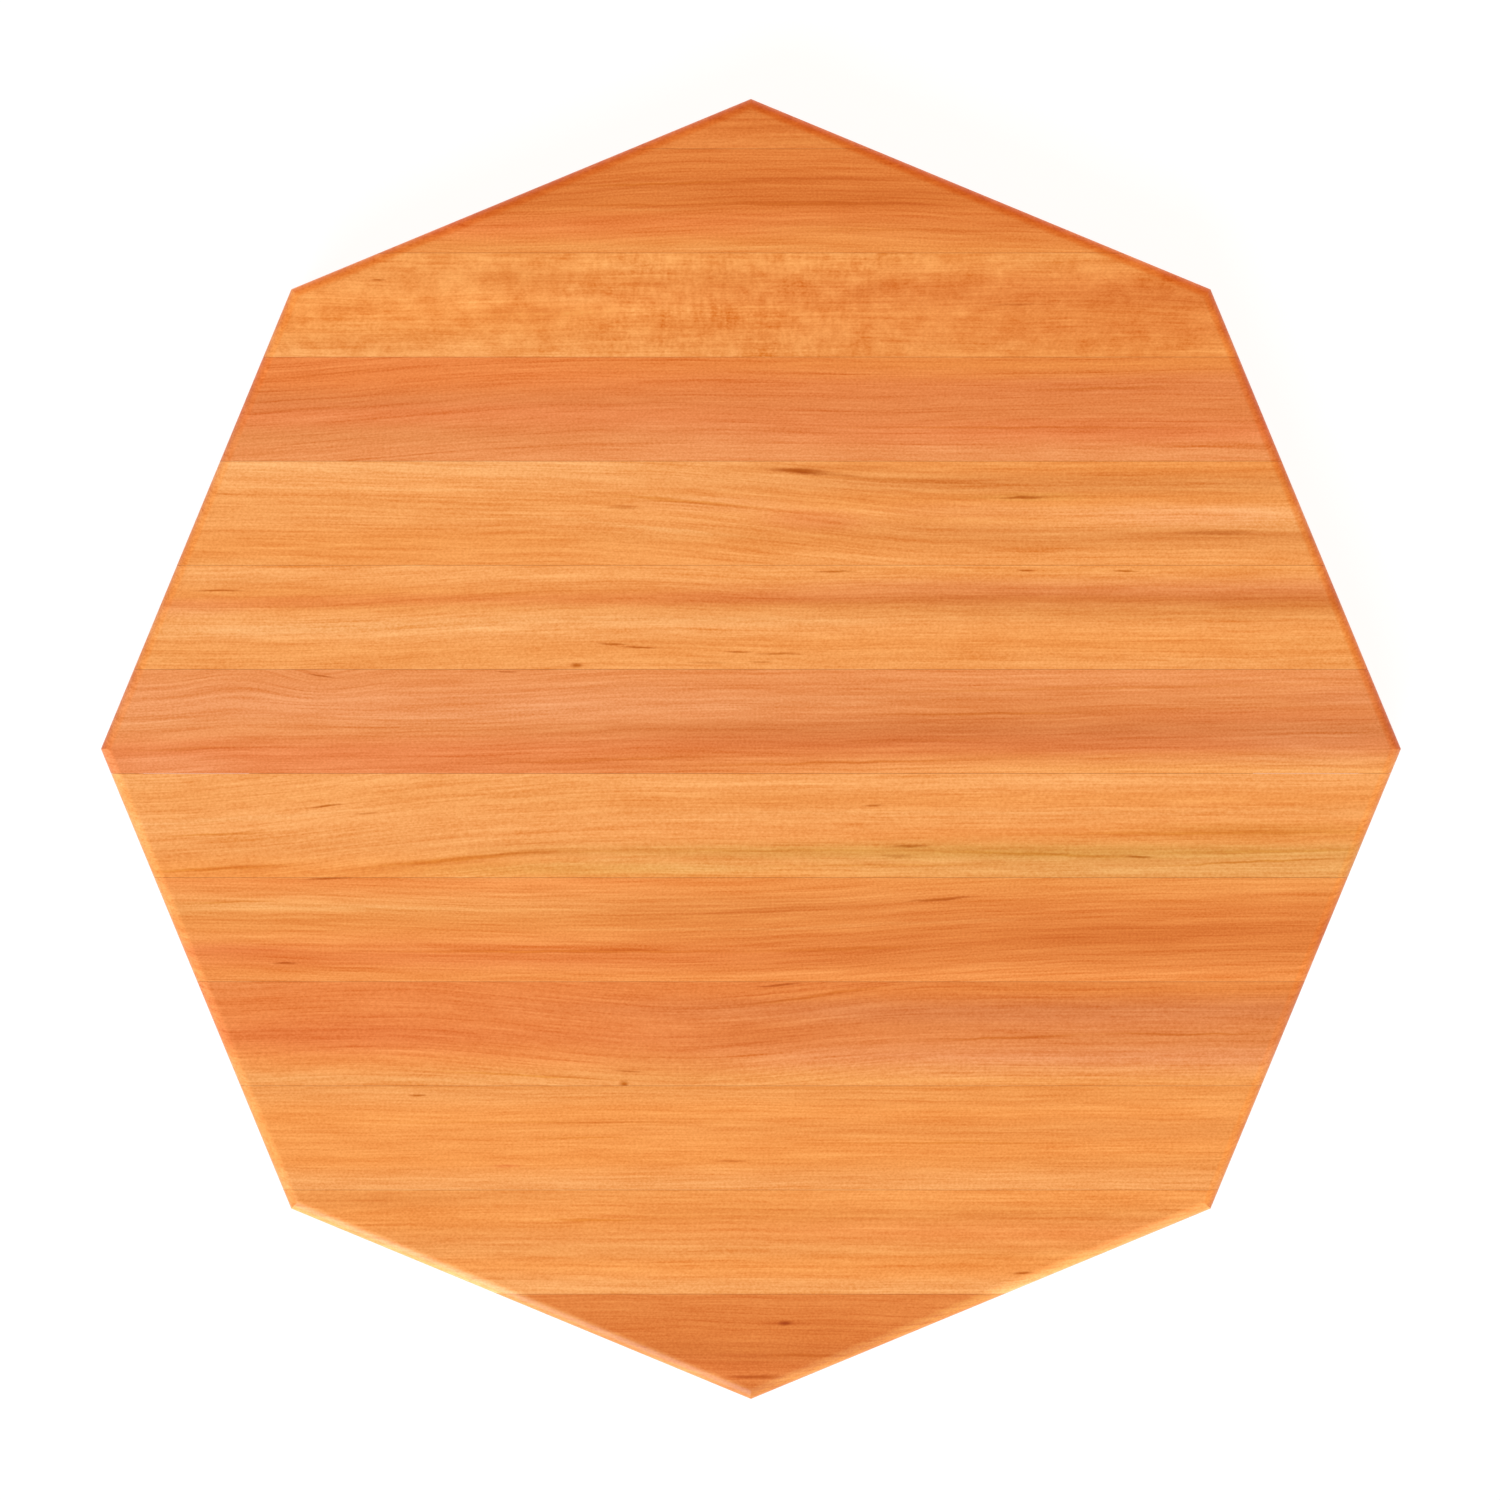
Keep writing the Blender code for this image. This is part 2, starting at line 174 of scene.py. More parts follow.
# Along X, the middle of the strongest curl, and how far it stays strong and then fades.
CURL_MIDDLE = -0.02
CURL_STRONG = 0.03
CURL_FADE = 0.16
# Half the distance over which a board's left tones turn into its right ones, and how much that wanders.
BLEND_REACH = 0.24
BLEND_WANDER = 0.35
# How far below the face a mark reaches, and how ragged its outline is.
MARK_DEPTH = 0.006
MARK_RAGGEDNESS = 0.003
CHERRY_ROUGHNESS = 0.42
CHERRY_SPECULAR = 0.3
CHERRY_RELIEF = 0.00012
MAPLE_ROUGHNESS = 0.32
MAPLE_RELIEF = 0.0001
PLIES = 7
# The deck's rings lie at these multiples of the post circle's radius, and its lines at these angles.
RINGS = (1, 2, 3)
QUADRANT_ANGLES = (1.5 * SIDE_ANGLE, 3.5 * SIDE_ANGLE)
LINE_WIDTH = 0.0016
LINE_FADE = 0.0001
# Linear RGB of the deck: its maple, the darker crossed plies and the ink of the rings.
MAPLE = (0.70, 0.47, 0.25)
PLY_CORE = (0.42, 0.24, 0.11, 1.0)
LINE_INK = (0.02, 0.018, 0.016, 1.0)
# The studio. Directions are measured from +X, and heights are those of unit directions.
KEY_AZIMUTH = math.radians(251)
KEY_ELEVATION = math.radians(24)
KEY_SPREAD = math.radians(60)
KEY_STRENGTH = 4.37
KEY_COLOUR = (0.60, 1.0, 1.40)
WHITE = (1, 1, 1, 1)
WARM_SIDE = (0.97, 0.38, 0.01, 1)
COOL_SIDE = (0.37, 0.50, 0.40, 1)
HORIZON_HEIGHT = 0.06
ROOM_HEIGHT = 0.18
FLOOR_SIZE = 12
FLOOR_DROP = 0.0001
FLOOR_COLOUR = (0.12, 0.12, 0.12, 1)
FLOOR_GLOW = 0.94
FLOOR_ROUGHNESS = 0.9
FLOOR_SPECULAR = 0.1
LENS = 180
SENSOR = 36
FARTHEST_SEEN = 30
CAMERA_X = -0.0006
CAMERA_Y = -0.0007


def linear(colour):
    """Linear RGBA from a 0 to 255 display colour."""
    return [((value / 255 + 0.055) / 1.055) ** 2.4 for value in colour] + [1.0]


class Tree:
    """Builds the nodes of a material or world. Each method returns the output socket of what it adds."""

    def __init__(self, owner):
        owner.use_nodes = True
        self.nodes = owner.node_tree.nodes
        self.links = owner.node_tree.links

    def feed(self, socket, value):
        if isinstance(value, bpy.types.NodeSocket):
            self.links.new(value, socket)
        else:
            socket.default_value = value

    def node(self, kind, inputs, output=0, **settings):
        made = self.nodes.new(kind)
        for key, value in settings.items():
            setattr(made, key, value)
        for key, value in inputs.items():
            self.feed(made.inputs[key], value)
        return made.outputs[output]

    def place(self):
        return self.node("ShaderNodeTexCoord", {}, "Object")

    def normal(self):
        return self.node("ShaderNodeTexCoord", {}, "Normal")

    def split(self, vector):
        node = self.node("ShaderNodeSeparateXYZ", {0: vector}).node
        return node.outputs[0], node.outputs[1], node.outputs[2]

    def join(self, x, y, z):
        return self.node("ShaderNodeCombineXYZ", {0: x, 1: y, 2: z})

    def math(self, operation, a, b=0.0):
        return self.node("ShaderNodeMath", {0: a, 1: b}, operation=operation)

    def add(self, *terms):
        total = terms[0]
        for term in terms[1:]:
            total = self.math("ADD", total, term)
        return total

    def scaled(self, value, factor):
        return self.math("MULTIPLY", value, factor)

    def centred(self, value, factor):
        """A 0 to 1 value as -factor/2 to factor/2."""
        return self.math("MULTIPLY", self.math("SUBTRACT", value, 0.5), factor)

    def smooth(self, value, low, high, from_value=0.0, to_value=1.0):
        inputs = {0: value, 1: low, 2: high, 3: from_value, 4: to_value}
        return self.node("ShaderNodeMapRange", inputs, interpolation_type="SMOOTHSTEP")

    def product(self, *factors):
        total = factors[0]
        for factor in factors[1:]:
            total = self.math("MULTIPLY", total, factor)
        return total

    def distance_from(self, value, centre):
        return self.math("ABSOLUTE", self.math("SUBTRACT", value, centre))

    def length(self, vector):
        return self.node("ShaderNodeVectorMath", {0: vector}, 1, operation="LENGTH")

    def vector(self, operation, a, b):
        return self.node("ShaderNodeVectorMath", {0: a, 1: b}, operation=operation)

    def noise(self, place, size, seed=0.0, detail=2.0, roughness=0.5):
        """Soft noise from 0 to 1 whose features have about the given size along each axis."""
        stretched = self.vector("DIVIDE", place, size)
        moved = self.vector("ADD", stretched, (seed * 7.31, seed * 3.17, seed * 5.43))
        inputs = {"Vector": moved, "Scale": 1.0, "Detail": detail, "Roughness": roughness}
        return self.node("ShaderNodeTexNoise", inputs)

    def tint(self, colour, tint, amount):
        """The colour multiplied by a tint, by an amount from 0 to 1."""
        inputs = {0: amount, 6: colour, 7: (*tint, 1.0)}
        settings = {"data_type": "RGBA", "blend_type": "MULTIPLY", "clamp_result": True}
        return self.node("ShaderNodeMix", inputs, 2, **settings)

    def mix(self, a, b, amount):
        return self.node("ShaderNodeMix", {0: amount, 6: a, 7: b}, 2, data_type="RGBA")

    def scale(self, vector, factor):
        return self.node("ShaderNodeVectorMath", {0: vector, 3: factor}, operation="SCALE")

    def shade(self, colour, amount):
        """Darker and redder where the amount is above zero, paler and yellower where it is below."""
        return self.vector("MULTIPLY", colour, self.vector("SUBTRACT", (1, 1, 1), self.scale(SHADE, amount)))

    def bands(self, value, names):
        """Tones spaced evenly across a board, from its upper edge at 0 to its lower edge at 1."""
        tones = names.split()
        output = self.node("ShaderNodeValToRGB", {0: value})
        ramp = output.node.color_ramp
        ramp.interpolation = "CARDINAL"
        while len(ramp.elements) < len(tones):
            ramp.elements.new(0.5)
        for index, (element, tone) in enumerate(zip(ramp.elements, tones)):
            element.position = (index + 0.5) / len(tones)
            element.color = [*(channel - sheen for channel, sheen in zip(linear(TONES[tone]), SHEEN)), 1]
        return output


class Finish(Tree):
    """The nodes of one new material."""

    def __init__(self, name):
        self.material = bpy.data.materials.new(name)
        super().__init__(self.material)
        self.surface = self.nodes["Principled BSDF"]


@dataclass
class Mark:
    """A gum fleck, pin knot or soft streak, in millimetres: where it is and half its length and width."""

    kind: str
    x: float
    y: float
    half_length: float
    half_width: float
    strength: float
    slope: float = 0.0


@dataclass
class Swirl:
    """A place where the grain is pushed aside, as round a hidden knot, in millimetres."""

    x: float
    y: float
    reach_x: float
    reach_y: float
    push: float


@dataclass
class Board:
    """How one board of cherry looks: its tones from the upper to the lower edge, at its left and right end.

    Each bend is (from x, to x, rise) of the grain in millimetres.
    """

    left: str
    right: str
    bends: tuple = ()
    wave: float = 7.0
    line_spacing: float = 7.0
    lines: float = 0.5
    streaks: float = 0.5
    curl: float = 0.0
    # The tint of the round-over edge: painted shade.
    edge: tuple = EDGE_SHADE_TINT
    swirls: tuple = ()
    marks: tuple = ()


STAVES = (
    Board(
        left="chestnut chestnut chestnut chestnut russet amber",
        right="chestnut chestnut chestnut chestnut russet amber",
        marks=(
            Mark("dark", 10, 407, 45, 2.5, 0.65),
            Mark("pale", -25, 397, 30, 2.0, 0.3),
            Mark("olive", 50, 398, 50, 5.0, 0.25),
        ),
    ),
    Board(
        left="amber russet chestnut russet copper apricot",
        right="russet russet russet russet amber apricot",
        bends=((-160, 10, 4),),
        streaks=0.6,
        marks=(
            Mark("vein", -55, 370, 70, 1.0, 0.85, 0.03),
            Mark("dark", 50, 373, 60, 2.0, 0.65),
            Mark("vein", 40, 357, 90, 1.6, 0.75),
            Mark("vein", -80, 356, 60, 1.0, 0.55),
            Mark("pale", -70, 353, 60, 1.2, 0.6),
            Mark("dark", 90, 360, 80, 9.0, 0.4),
            Mark("vein", 90, 340, 90, 1.4, 0.3),
            Mark("pale", -60, 328, 140, 3.0, 0.5),
            Mark("olive", 50, 342, 60, 6.0, 0.25),
        ),
    ),
    Board(
        left="straw straw marigold marigold straw gold",
        right="honey orange amber orange orange apricot",
        lines=0.1,
        streaks=0.35,
        curl=1.25,
        marks=(
            Mark("gum", -244, 307, 5, 0.9, 0.95),
            Mark("dark", -262, 289, 26, 4.0, 0.45),
            Mark("pale", -262, 277, 30, 5.0, 0.4),
            Mark("dark", -234, 261, 30, 3.0, 0.4),
            Mark("dark", -150, 308, 45, 5.0, 0.45),
            Mark("dark", -148, 284, 45, 5.5, 0.55),
            Mark("dark", -120, 270, 30, 2.5, 0.2),
            Mark("dark", -50, 263, 50, 5.0, 0.3),
            Mark("dark", -62, 305, 18, 3.0, 0.5),
            Mark("dark", -45, 278, 42, 6.0, 0.2),
            Mark("dark", -15, 306, 26, 8.0, 0.45),
            Mark("dark", 20, 266, 35, 7.0, 0.2),
            Mark("pale", -78, 316, 22, 5.0, 0.35),
            Mark("pale", -110, 294, 30, 3.0, 0.3),
            Mark("pale", -50, 286, 45, 6.0, 0.3),
            Mark("dark", -112, 286, 30, 4.0, 0.4),
            Mark("pale", -104, 301, 30, 4.0, 0.35),
            Mark("pale", 200, 322, 50, 3.0, 0.35),
            Mark("pale", 82, 324, 45, 3.0, 0.4),
            Mark("dark", 75, 300, 20, 5.0, 0.4, 0.3),
            Mark("gum", 175, 291, 22, 0.8, 0.45),
            Mark("pale", 190, 317, 24, 5.0, 0.4),
            Mark("dark", 260, 296, 50, 8.0, 0.3),
            Mark("pale", 150, 264, 60, 3.0, 0.45),
        ),
    ),
    Board(
        left="copper copper brick coral rose salmon",
        right="orange brick brick brick coral salmon",
        bends=((-380, -90, 16),),
        wave=4.0,
        line_spacing=8.5,
        lines=0.9,
        streaks=0.3,
        marks=(
            Mark("vein", -290, 222.5, 60, 1.0, 0.5, 0.06),
            Mark("vein", -270, 246, 50, 1.0, 0.45, 0.09),
            Mark("vein", 230, 236, 60, 1.0, 0.7, 0.03),
            Mark("vein", 180, 210.5, 160, 1.2, 0.65),
            Mark("dark", 250, 207, 70, 7.0, 0.3),
            Mark("pale", -30, 208, 80, 10.0, 0.3),
            Mark("dark", -290, 240, 60, 12.0, 0.2, 0.06),
        ),
    ),
    Board(
        left="cream butter gold gold straw straw",
        right="honey wheat straw butter wheat gold",
        bends=((-380, -150, -5), (-120, 140, -18)),
        wave=5.0,
        lines=0.45,
        marks=(
            Mark("gum", 31, 182, 19, 2.2, 1.0, -0.06),
            Mark("gum", 45, 180.5, 40, 1.6, 0.5, -0.10),
            Mark("vein", 95, 176, 70, 1.4, 0.5, -0.04),
            Mark("dark", 200, 178, 170, 4.0, 0.3, 0.02),
            Mark("gum", 178, 164.5, 16, 1.1, 0.9),
            Mark("olive", 180, 165, 50, 3.0, 0.6),
            Mark("gum", 305, 141.5, 28, 1.6, 0.5),
            Mark("dark", 300, 141, 70, 4.0, 0.4),
            Mark("red", 40, 150, 40, 8.0, 0.8, -0.04),
            Mark("pale", 240, 156, 120, 5.0, 0.4, 0.01),
            Mark("gum", -84, 158, 12, 1.6, 0.5),
            Mark("vein", -40, 162, 60, 1.4, 0.8, -0.09),
            Mark("pale", -60, 144, 110, 1.6, 0.55, -0.10),
            Mark("pale", -230, 170, 130, 1.4, 0.5, -0.02),
            Mark("dark", 65, 185, 45, 4.0, 0.35),
            Mark("dark", 90, 161, 90, 6.0, 0.3),
            Mark("dark", 140, 150, 75, 9.0, 0.5),
            Mark("dark", 60, 183, 55, 4.0, 0.3),
            Mark("pale", -60, 140, 70, 6.0, 0.6),
            Mark("dark", 2, 183, 38, 4.0, 0.5),
            Mark("pale", -340, 122, 60, 4.0, 0.7),
            Mark("pale", -50, 164, 40, 4.0, 0.4),
            Mark("pale", 160, 187, 45, 3.0, 0.4),
            Mark("blush", 286, 154, 90, 9.0, 0.7),
            Mark("blush", 150, 156, 70, 6.0, 0.4),
            Mark("blush", -20, 160, 60, 6.0, 0.45),
            Mark("pale", 350, 153, 50, 13.0, 0.75),
            Mark("pale", 50, 124, 60, 5.0, 0.3),
        ),
    ),
    Board(
        left="butter honey gold cream gold gold",
        right="gold rose wheat gold straw gold",
        bends=((-330, -90, 9), (-70, 40, -4)),
        wave=4.0,
        lines=0.4,
        marks=(
            Mark("red", -300, 96, 170, 5.0, 0.75, 0.02),
            Mark("red", -60, 98, 150, 5.0, 0.6, 0.01),
            Mark("dark", 60, 97, 120, 4.0, 0.4, 0.01),
            Mark("dark", 230, 98, 130, 4.0, 0.9),
            Mark("dark", 370, 97, 70, 9.0, 0.6),
            Mark("pale", -260, 80, 170, 4.0, 0.45, 0.04),
            Mark("pale", -30, 84, 140, 4.0, 0.5, -0.01),
            Mark("pale", -130, 92, 110, 4.0, 0.3),
            Mark("dark", 150, 103, 60, 6.0, 0.3),
            Mark("dark", -250, 92, 60, 4.0, 0.25),
            Mark("pale", 350, 69, 50, 8.0, 0.4),
            Mark("pale", -345, 114, 50, 5.0, 0.3),
            Mark("pale", -366, 108, 35, 4.0, 0.35),
            Mark("pale", -328, 110, 40, 4.0, 0.35),
            Mark("pale", 301, 57, 50, 4.0, 0.35),
            Mark("pale", 382, 71, 40, 6.0, 0.35),
            Mark("blush", -375, 92, 50, 7.0, 0.45),
            Mark("pale", -388, 60, 30, 5.0, 0.35),
            Mark("pale", 379, 56, 40, 5.0, 0.3),
            Mark("dark", -60, 70, 60, 6.0, 0.25),
            Mark("gum", 55, 116, 14, 0.7, 0.9),
            Mark("gum", 180, 117, 6, 0.7, 1.0),
            Mark("gum", 245, 116.5, 9, 0.9, 1.0, -0.05),
            Mark("gum", -348, 103.5, 17, 0.8, 0.9),
            Mark("gum", -90, 69, 11, 0.8, 0.9),
            Mark("gum", -73, 66.5, 13, 0.9, 0.95, -0.05),
            Mark("gum", -8, 63.5, 9, 0.8, 0.9),
            Mark("gum", 18, 62, 16, 0.8, 0.8),
            Mark("gum", -28, 56.5, 14, 0.8, 0.45),
            Mark("gum", 6, 57, 8, 0.8, 0.7),
            Mark("gum", -114, 54.5, 4.2, 1.9, 1.0),
        ),
    ),
    Board(
        left="salmon peach peach salmon coral coral",
        right="salmon rose rose clay brick gold",
        bends=((-420, -330, 4), (-240, -60, 5), (0, 380, 6)),
        wave=4.0,
        lines=0.55,
        swirls=(
            Swirl(-280, 46, 32, 14, -7),
            Swirl(-335, 44, 30, 16, 3),
        ),
        marks=(
            Mark("gum", -282, 48, 10, 0.7, 0.9, -0.15),
            Mark("gum", -160, 51, 8, 0.6, 0.8),
            Mark("vein", -370, 0, 50, 1.4, 0.55, 0.05),
            Mark("vein", -90, -7, 100, 1.2, 0.65, 0.03),
            Mark("vein", 210, 39.5, 200, 1.2, 0.5, 0.02),
            Mark("vein", 150, 23, 90, 1.2, 0.8, 0.01),
            Mark("dark", 190, 16, 130, 8.0, 0.4),
            Mark("vein", 110, 5.5, 70, 1.4, 0.5, 0.02),
            Mark("vein", 60, -9, 110, 1.2, 0.75, 0.02),
            Mark("red", 330, 22, 110, 6.0, 0.45),
            Mark("pale", 60, 31, 130, 5.0, 0.35, 0.03),
            Mark("pale", -150, 24, 120, 5.0, 0.3, 0.05),
            Mark("dark", 60, 5, 150, 14.0, 0.5),
            Mark("dark", -130, -10, 110, 6.0, 0.25),
            Mark("dark", -70, 13, 150, 7.0, 0.35),
            Mark("dark", -50, -11, 70, 6.0, 0.3),
            Mark("dark", 170, -6, 50, 4.0, 0.4),
            Mark("dark", 193, 26, 50, 4.0, 0.4),
            Mark("pale", -88, 41, 45, 4.0, 0.35),
            Mark("pale", -392, 16, 40, 9.0, 0.4),
            Mark("pale", 314, 28, 60, 6.0, 0.25),
            Mark("pale", 309, -6, 60, 5.0, 0.3),
            Mark("blush", 400, 33, 50, 8.0, 0.4),
            Mark("pale", 408, 12, 30, 5.0, 0.35),
            Mark("pale", 370, 1, 60, 17.0, 1.0),
            Mark("pale", -380, -10, 50, 10.0, 1.0),
        ),
    ),
    Board(
        left="butter gold butter butter gold marigold",
        right="butter straw gold straw reed reed",
        bends=((-430, -60, 26),),
        wave=4.0,
        lines=0.3,
        marks=(
            Mark("olive", 140, -67, 290, 6.0, 0.75),
            Mark("olive", -110, -79, 130, 6.0, 0.6),
            Mark("olive", 335, -53, 100, 6.0, 0.5),
            Mark("vein", -190, -72, 75, 1.9, 0.9, 0.09),
            Mark("vein", -110, -67, 70, 1.0, 0.45, 0.03),
            Mark("vein", 10, -66.5, 110, 0.9, 0.55),
            Mark("vein", 190, -69, 90, 1.3, 0.8, -0.03),
            Mark("vein", 340, -67, 90, 1.2, 0.7, 0.02),
            Mark("vein", 330, -74, 70, 0.9, 0.9, 0.04),
            Mark("vein", 300, -55, 140, 1.6, 0.75, 0.01),
            Mark("gum", 104, -64, 13, 1.1, 0.9),
            Mark("gum", 95, -70, 12, 1.0, 0.5),
            Mark("gum", 254, -71, 10, 1.1, 0.95),
            Mark("pale", 120, -80, 300, 3.0, 0.35),
            Mark("pale", -140, -76, 90, 1.6, 0.7, 0.06),
            Mark("gum", -278, -37.5, 12, 0.8, 0.9, 0.10),
            Mark("gum", -252, -42, 9, 0.8, 0.6, 0.08),
            Mark("gum", 80, -37, 7, 0.8, 0.85),
            Mark("vein", -350, -56, 40, 0.9, 0.8, 0.05),
            Mark("vein", -350, -78.5, 60, 1.6, 0.85, 0.05),
            Mark("pale", -340, -46, 90, 2.0, 0.6, 0.06),
            Mark("pale", 130, -42, 260, 1.6, 0.5),
            Mark("dark", -200, -75, 80, 3.5, 0.3, 0.09),
            Mark("dark", -335, -79, 60, 4.5, 0.45, 0.03),
            Mark("pale", -90, -79, 110, 5.0, 0.75, 0.02),
            Mark("dark", 30, -33, 80, 6.0, 0.25),
            Mark("dark", -150, -66, 60, 5.0, 0.3),
            Mark("dark", -250, -81, 50, 5.0, 0.35),
            Mark("pale", -150, -33, 60, 6.0, 0.3),
            Mark("pale", -195, -83, 45, 3.5, 0.9),
            Mark("pale", -25, -79, 45, 7.0, 0.5),
            Mark("pale", -403, -22, 35, 5.0, 0.35),
            Mark("pale", 376, -40, 40, 4.0, 0.4),
            Mark("pale", -390, -52, 35, 4.0, 0.35),
            Mark("pale", -335, -59, 35, 3.0, 0.35),
            Mark("dark", 254, -74, 35, 3.0, 0.45),
            Mark("vein", 90, -76, 110, 0.9, 0.6, 0.01),
        ),
    ),
    Board(
        left="tangerine gold honey tangerine copper tangerine",
        right="honey orange amber russet amber tangerine",
        bends=((-380, -120, -4), (-90, 320, 14)),
        wave=4.0,
        lines=0.45,
        streaks=0.65,
        marks=(
            Mark("gum", -275, -84.5, 20, 1.0, 0.9, 0.04),
            Mark("pale", -290, -103.5, 110, 2.6, 1.0, -0.02),
            Mark("vein", -340, -100.5, 32, 0.7, 0.8, 0.02),
            Mark("red", -340, -131, 60, 4.0, 0.6),
            Mark("vein", -120, -132.5, 150, 1.4, 0.9),
            Mark("gum", -305, -140.5, 9, 0.9, 0.95),
            Mark("gum", 124, -98.5, 24, 1.0, 0.95, 0.08),
            Mark("dark", 10, -106, 90, 1.8, 0.4, 0.06),
            Mark("pale", 110, -114, 140, 1.4, 0.7, 0.04),
            Mark("dark", 230, -121, 150, 8.0, 0.4, 0.02),
            Mark("vein", 60, -131, 70, 1.6, 0.7, 0.03),
            Mark("pale", -40, -118, 110, 1.2, 0.6),
            Mark("dark", -40, -108, 80, 9.0, 0.3),
            Mark("dark", 0, -100, 110, 7.0, 0.3),
            Mark("dark", -50, -125, 75, 5.0, 0.3),
            Mark("pale", -365, -128, 50, 12.0, 0.35),
            Mark("dark", 60, -141, 100, 8.0, 0.25),
            Mark("pale", -368, -106, 35, 4.0, 0.6),
            Mark("pale", -197, -85, 50, 3.0, 0.4),
            Mark("pale", -331, -151, 35, 3.0, 0.4),
        ),
    ),
    Board(
        left="copper copper copper copper tangerine gold",
        right="amber clay rose rose peach gold",
        bends=((-350, -255, 3), (-240, -50, -13), (-50, 130, 13)),
        wave=3.0,
        lines=0.6,
        marks=(
            Mark("red", -270, -187, 90, 14.0, 0.45),
            Mark("gum", -80, -211, 10, 0.8, 0.7),
            Mark("gum", -83, -219, 3.2, 1.9, 1.0),
            Mark("vein", -150, -213.5, 70, 1.0, 0.8, -0.05),
            Mark("gum", 18, -154.5, 16, 0.9, 0.9, 0.08),
            Mark("vein", 40, -162, 60, 1.4, 0.8, 0.14),
            Mark("vein", 170, -189, 60, 1.1, 0.9, 0.03),
            Mark("vein", 280, -186.5, 70, 0.9, 0.9),
            Mark("red", 240, -180, 110, 8.0, 0.25),
            Mark("dark", 5, -187, 60, 9.0, 0.65),
            Mark("pale", -200, -217, 120, 3.0, 0.4, -0.02),
            Mark("dark", -55, -206, 60, 14.0, 0.45),
            Mark("dark", 110, -181, 90, 7.0, 0.35),
            Mark("pale", -320, -216, 60, 5.0, 0.35),
            Mark("pale", -345, -158, 50, 6.0, 0.7),
            Mark("dark", 190, -208, 55, 4.0, 0.45),
            Mark("pale", -326, -153, 35, 3.5, 0.5),
        ),
    ),
    Board(
        left="gold marigold marigold marigold marigold butter",
        right="straw marigold honey marigold straw butter",
        wave=4.0,
        line_spacing=5.0,
        lines=0.3,
        streaks=0.45,
        marks=(
            Mark("vein", 0, -222, 340, 1.2, 0.35),
            Mark("gum", -218, -227, 6, 0.8, 0.95),
            Mark("vein", -130, -244.5, 120, 1.0, 0.5),
            Mark("vein", -110, -254.5, 40, 0.9, 0.7),
            Mark("red", -160, -273, 11, 1.0, 0.85),
            Mark("gum", -12, -270, 12, 0.6, 0.65),
            Mark("vein", 130, -258, 90, 1.0, 0.65),
            Mark("dark", 190, -242, 120, 3.0, 0.2),
            Mark("pale", 335, -245, 50, 28.0, 0.3),
            Mark("dark", 150, -262, 60, 8.0, 0.25),
            Mark("dark", 50, -272, 60, 6.0, 0.25),
            Mark("dark", 60, -232, 50, 4.0, 0.4),
            Mark("dark", 50, -280, 60, 5.0, 0.3),
        ),
    ),
    Board(
        left="straw marigold straw gold marigold butter",
        right="marigold honey tangerine straw marigold butter",
        wave=4.0,
        line_spacing=5.0,
        lines=0.3,
        streaks=0.5,
        marks=(
            Mark("dark", -240, -296, 60, 6.0, 0.45),
            Mark("vein", -100, -308.5, 40, 1.0, 0.85),
            Mark("gum", 178, -343, 7, 1.1, 1.0),
            Mark("dark", 165, -303, 60, 6.0, 0.25),
            Mark("dark", -40, -306, 55, 6.0, 0.4),
            Mark("dark", 50, -306, 60, 7.0, 0.35),
            Mark("pale", 255, -312, 40, 10.0, 0.3),
            Mark("dark", 0, -301, 40, 4.0, 0.4),
        ),
    ),
    Board(
        left="amber amber russet chestnut copper chestnut",
        right="amber russet russet chestnut amber chestnut",
        lines=0.4,
        # A yellower tint on this board's round-over edge: painted highlight colour on its lit lower edges.
        edge=(0.97, 1.0, 0.70),
        marks=(
            Mark("gum", 22.5, -376, 5, 1.6, 1.0),
            Mark("dark", 22, -376, 16, 2.0, 0.7),
            Mark("gum", 3, -411, 20, 1.6, 0.9),
            Mark("dark", 0, -404, 60, 8.0, 0.5),
            Mark("vein", 40, -397, 40, 1.2, 0.75),
            Mark("dark", 60, -380, 40, 4.0, 0.35),
        ),
    ),
)

RAIL_BOARDS = (
    Board(left="orange apricot orange amber", right="orange amber orange amber"),
    Board(left="apricot orange amber orange", right="orange orange amber russet", wave=10.0),
    Board(left="honey apricot orange orange", right="apricot orange orange amber", lines=0.4),
    Board(left="orange amber amber orange", right="orange amber russet amber", line_spacing=5.0),
)


def millimetres(*values):
    return tuple(value * MM for value in values)


def grain_bend(tree, place, board):
    """How far the grain of a board has moved up at each point along and across it."""
    x, _, _ = tree.split(place)
    total = 0.0
    for start, end, rise in board.bends:
        step = tree.smooth(x, *millimetres(start, end, 0, rise))
        total = tree.add(total, step)
    for swirl in board.swirls:
        offset = tree.vector("SUBTRACT", place, millimetres(swirl.x, swirl.y, 0))
        flat = tree.vector("DIVIDE", offset, (*millimetres(swirl.reach_x, swirl.reach_y), 1))
        total = tree.add(total, tree.smooth(tree.length(flat), 0, 1.6, swirl.push * MM, 0))
    return total


def growth_lines(tree, along, board, seed):
    """Thin dark lines that end each season's growth, strong in places and faint in others, from 0 to 1."""
    _, across, _ = tree.split(along)
    spacing = board.line_spacing * MM
    jitter = tree.centred(tree.noise(along, FIGURE["line jitter"], seed, detail=1), 1.6 * spacing)
    phase = tree.math("FRACT", tree.math("DIVIDE", tree.add(across, jitter), spacing))
    rise = tree.math("POWER", phase, 6)
    fall = tree.smooth(phase, 0.93, 1, 1, 0)
    presence = tree.smooth(tree.noise(along, FIGURE["line presence"], seed + 1), 0.38, 0.62, 0.1, 1)
    return tree.product(rise, fall, presence)


